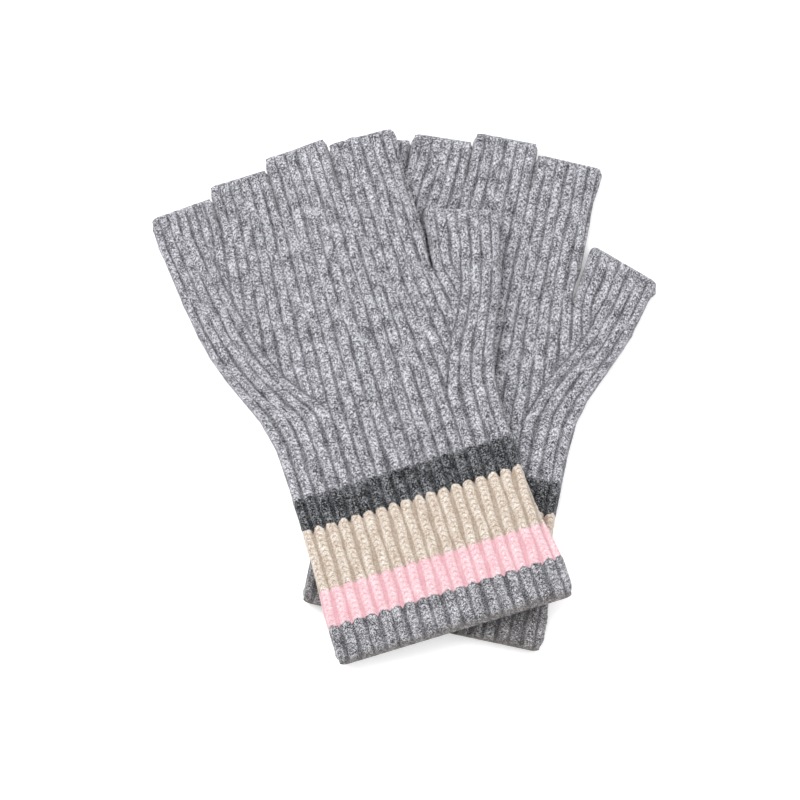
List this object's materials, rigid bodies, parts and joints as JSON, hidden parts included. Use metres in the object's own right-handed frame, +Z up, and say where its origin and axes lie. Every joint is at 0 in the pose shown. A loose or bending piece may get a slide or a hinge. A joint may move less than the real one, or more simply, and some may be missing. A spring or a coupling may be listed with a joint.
{
  "type": "pair of fingerless gloves",
  "caption": "Rib-knitted wool fingerless gloves, a pair laid one on the other, with striped cuffs and short finger and thumb stubs that fold.",
  "frame": {"origin": "on the table, under the centre of the pair's bounding box", "axes": "+Y from the cuffs towards the fingertips, +X towards the side where both thumbs lie, +Z up from the table"},
  "size_m": [0.1942, 0.2046, 0.0167],
  "materials": {
    "grey_knit": "fuzzy rib-knitted wool, heather grey",
    "hem_knit": "fuzzy rib-knitted wool, mid grey",
    "pink_knit": "fuzzy rib-knitted wool, pale pink",
    "oatmeal_knit": "fuzzy rib-knitted wool, flecked oatmeal",
    "charcoal_knit": "fuzzy rib-knitted wool, charcoal"
  },
  "bodies": {
    "lower_hand": {"lower_hand": "grey_knit", "lower_thumb_gusset": "grey_knit"},
    "lower_cuff": {"lower_hem_band": "hem_knit", "lower_pink_band": "pink_knit", "lower_oatmeal_band": "oatmeal_knit", "lower_charcoal_band": "charcoal_knit"},
    "lower_thumb": {"lower_thumb_tube": "grey_knit", "lower_thumb_welt": "grey_knit"},
    "lower_little": {"lower_little_tube": "grey_knit", "lower_little_welt": "grey_knit"},
    "lower_ring": {"lower_ring_tube": "grey_knit", "lower_ring_welt": "grey_knit"},
    "lower_middle": {"lower_middle_tube": "grey_knit", "lower_middle_welt": "grey_knit"},
    "lower_index": {"lower_index_tube": "grey_knit", "lower_index_welt": "grey_knit"},
    "upper_hand": {"upper_hand": "grey_knit", "upper_thumb_gusset": "grey_knit"},
    "upper_cuff": {"upper_hem_band": "hem_knit", "upper_pink_band": "pink_knit", "upper_oatmeal_band": "oatmeal_knit", "upper_charcoal_band": "charcoal_knit"},
    "upper_thumb": {"upper_thumb_tube": "grey_knit", "upper_thumb_welt": "grey_knit"},
    "upper_little": {"upper_little_tube": "grey_knit", "upper_little_welt": "grey_knit"},
    "upper_ring": {"upper_ring_tube": "grey_knit", "upper_ring_welt": "grey_knit"},
    "upper_middle": {"upper_middle_tube": "grey_knit", "upper_middle_welt": "grey_knit"},
    "upper_index": {"upper_index_tube": "grey_knit", "upper_index_welt": "grey_knit"}
  },
  "joints": [
    {"name": "lift", "type": "slide", "parent": "lower_hand", "child": "upper_hand", "axis": [0, 0, 1], "range_m": [0, 0.12]},
    {"name": "lower_wrist_fold", "type": "hinge", "parent": "lower_hand", "child": "lower_cuff", "pos_m": [0.01962, -0.02567, 0], "axis": [0.9799, -0.1994, 0], "range_deg": [0, 50]},
    {"name": "lower_thumb_fold", "type": "hinge", "parent": "lower_hand", "child": "lower_thumb", "pos_m": [0.0758, 0.0293, 0], "axis": [-0.8616, 0.5075, 0], "range_deg": [0, 60]},
    {"name": "lower_little_curl", "type": "hinge", "parent": "lower_hand", "child": "lower_little", "pos_m": [-0.01126, 0.09113, 0], "axis": [-0.9799, 0.1994, 0], "range_deg": [0, 75]},
    {"name": "lower_ring_curl", "type": "hinge", "parent": "lower_hand", "child": "lower_ring", "pos_m": [0.01255, 0.08629, 0], "axis": [-0.9799, 0.1994, 0], "range_deg": [0, 75]},
    {"name": "lower_middle_curl", "type": "hinge", "parent": "lower_hand", "child": "lower_middle", "pos_m": [0.03607, 0.0815, 0], "axis": [-0.9799, 0.1994, 0], "range_deg": [0, 75]},
    {"name": "lower_index_curl", "type": "hinge", "parent": "lower_hand", "child": "lower_index", "pos_m": [0.06027, 0.07658, 0], "axis": [-0.9799, 0.1994, 0], "range_deg": [0, 75]},
    {"name": "upper_wrist_fold", "type": "hinge", "parent": "upper_hand", "child": "upper_cuff", "pos_m": [0.00138, -0.02764, 0.01662], "axis": [-0.9553, -0.2957, 0], "range_deg": [0, 50]},
    {"name": "upper_thumb_fold", "type": "hinge", "parent": "upper_hand", "child": "upper_thumb", "pos_m": [0.02426, 0.04756, 0.01662], "axis": [0.9995, -0.0314, 0], "range_deg": [0, 60]},
    {"name": "upper_little_curl", "type": "hinge", "parent": "upper_hand", "child": "upper_little", "pos_m": [-0.0818, 0.05998, 0.00822], "axis": [0.9553, 0.2957, 0], "range_deg": [0, 75]},
    {"name": "upper_ring_curl", "type": "hinge", "parent": "upper_hand", "child": "upper_ring", "pos_m": [-0.05858, 0.06717, 0.00851], "axis": [0.9553, 0.2957, 0], "range_deg": [0, 75]},
    {"name": "upper_middle_curl", "type": "hinge", "parent": "upper_hand", "child": "upper_middle", "pos_m": [-0.03566, 0.07426, 0.01662], "axis": [0.9553, 0.2957, 0], "range_deg": [0, 75]},
    {"name": "upper_index_curl", "type": "hinge", "parent": "upper_hand", "child": "upper_index", "pos_m": [-0.01206, 0.08157, 0.01662], "axis": [0.9553, 0.2957, 0], "range_deg": [0, 75]}
  ]
}
